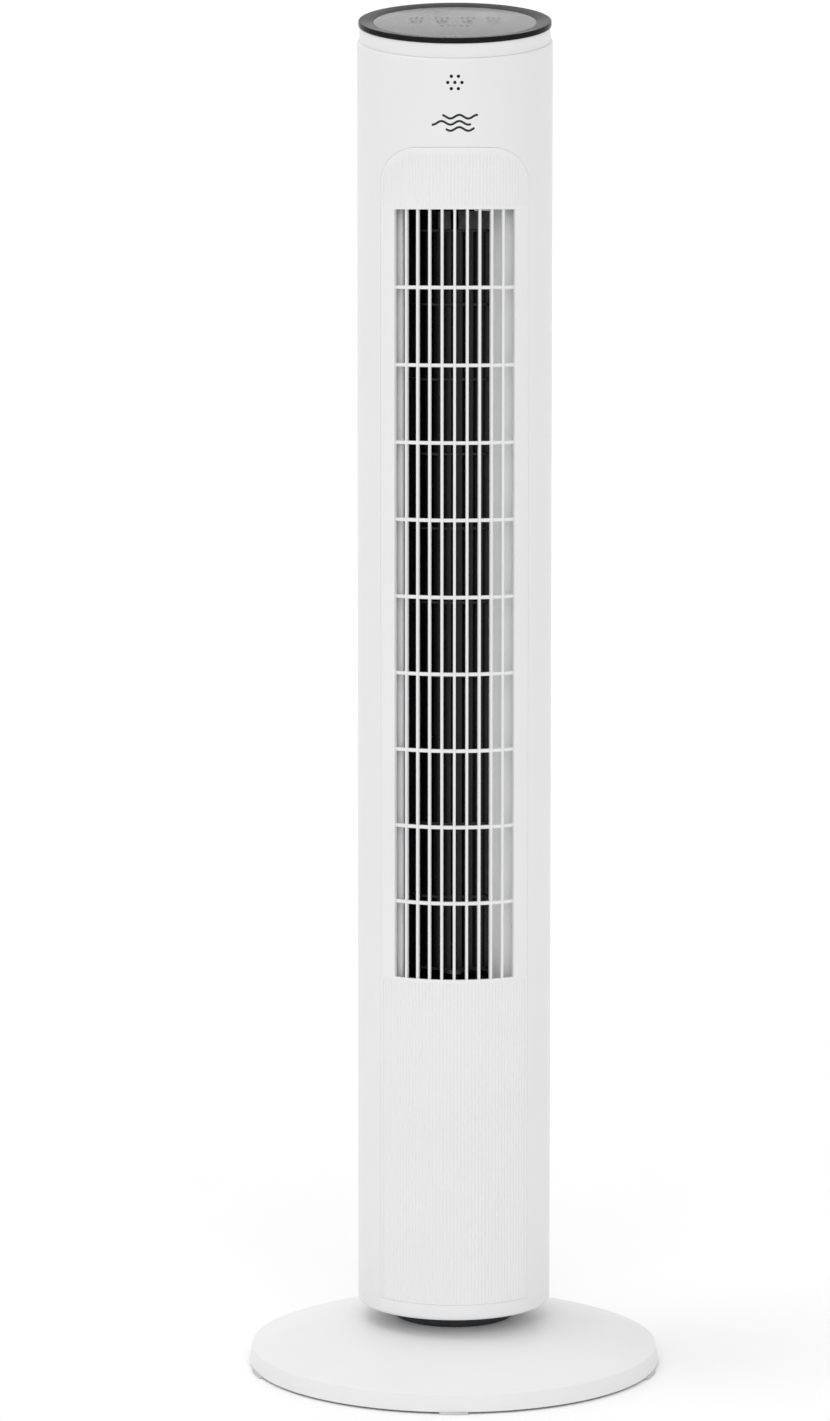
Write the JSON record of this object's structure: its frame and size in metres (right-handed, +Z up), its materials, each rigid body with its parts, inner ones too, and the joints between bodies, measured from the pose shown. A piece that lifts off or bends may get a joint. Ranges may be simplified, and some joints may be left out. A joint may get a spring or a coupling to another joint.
{
  "type": "tower fan",
  "caption": "Slim round tower fan: slanted touch-control top, barred front outlet over a cross-flow wheel, slotted rear intake, turning on a low domed round base.",
  "frame": {"origin": "on the floor under the middle of the round base, on the tower's turning axis", "axes": "+Z up along the tower, -Y out of the front air outlet, +X to the right of a viewer who faces the front"},
  "size_m": [0.2384, 0.2408, 0.7897],
  "materials": {
    "white_shell": "fine satin moulded plastic",
    "white_grille": "fine satin moulded plastic",
    "pale_guide": "smooth pale grey plastic",
    "black_plastic": "smooth black plastic",
    "neck_plastic": "dark grey satin plastic",
    "rim_gloss": "piano-gloss black plastic",
    "touch_gloss": "grey gloss panel with faint printed symbols",
    "foot_rubber": "pale soft rubber",
    "dark_rubber": "dark soft rubber",
    "natural_nylon": "natural low-friction plastic",
    "steel": "plain zinc-plated steel",
    "black_steel": "steel with a black oxide finish",
    "ballast_iron": "rolled steel plate",
    "bronze": "oil-filled sintered bronze",
    "copper": "enamelled copper wire",
    "motor_steel": "pressed plated steel",
    "laminations": "stacked electrical steel",
    "board_green": "solder-masked circuit board",
    "component_black": "moulded component body",
    "lead_grey": "sheathed lead"
  },
  "bodies": {
    "base": {"base_shell": "white_shell", "base_plate": "white_shell", "ballast_plate": "ballast_iron", "rubber_feet": "foot_rubber", "neck": "neck_plastic", "base_lock_ring": "steel", "pivot_tube": "steel", "fixed_gear": "natural_nylon", "retaining_clip": "steel", "slide_ring": "natural_nylon", "base_screws": "steel", "cord_gland": "dark_rubber"},
    "tower": {"tower_floor": "white_shell", "swivel_bush": "natural_nylon", "swing_motor": "motor_steel", "swing_motor_screws": "steel", "board_tray": "black_plastic", "power_board": "board_green", "run_capacitor": "component_black", "transformer": "laminations", "terminal_block": "natural_nylon", "board_screws": "steel", "control_lead": "lead_grey", "lead_clips": "natural_nylon", "motor_lower_cap": "motor_steel", "motor_upper_cap": "motor_steel", "motor_bushes": "bronze", "stator_stack": "laminations", "stator_windings": "copper", "motor_rubbers": "dark_rubber", "motor_screws": "steel", "lower_duct_plate": "black_plastic", "upper_duct_plate": "black_plastic", "top_bush": "bronze", "bush_rubber": "dark_rubber", "scroll_wall": "black_plastic", "left_air_guide": "pale_guide", "right_air_guide": "pale_guide", "tower_shell": "white_shell", "shell_screws": "steel", "rear_grille": "white_grille", "front_grille": "white_grille", "top_collar": "white_shell", "control_bezel": "rim_gloss", "touch_panel": "touch_gloss", "control_board": "board_green", "touch_springs": "steel", "display_module": "component_black", "infrared_receiver": "component_black", "head_screws": "steel", "beeper": "component_black"},
    "wheel": {"wheel": "black_plastic", "wheel_hub": "steel", "hub_screw": "steel", "motor_shaft": "steel", "rotor_core": "laminations", "top_pin": "black_steel"},
    "swing_pinion": {"swing_pinion": "natural_nylon"}
  },
  "joints": [
    {"name": "oscillation", "type": "hinge", "parent": "base", "child": "tower", "pos_m": [0, 0, 0.0371], "axis": [0, 0, 1], "range_deg": [-37.5, 37.5]},
    {"name": "wheel_spin", "type": "hinge", "parent": "tower", "child": "wheel", "pos_m": [0, 0, 0.24], "axis": [0, 0, 1], "continuous": true},
    {"name": "pinion_spin", "type": "hinge", "parent": "tower", "child": "swing_pinion", "pos_m": [0, 0.029, 0.05], "axis": [0, 0, 1], "range_deg": [-118, 118]}
  ],
  "couplings": [
    {"joint": "pinion_spin", "follows": "oscillation", "ratio": 3.1429}
  ]
}
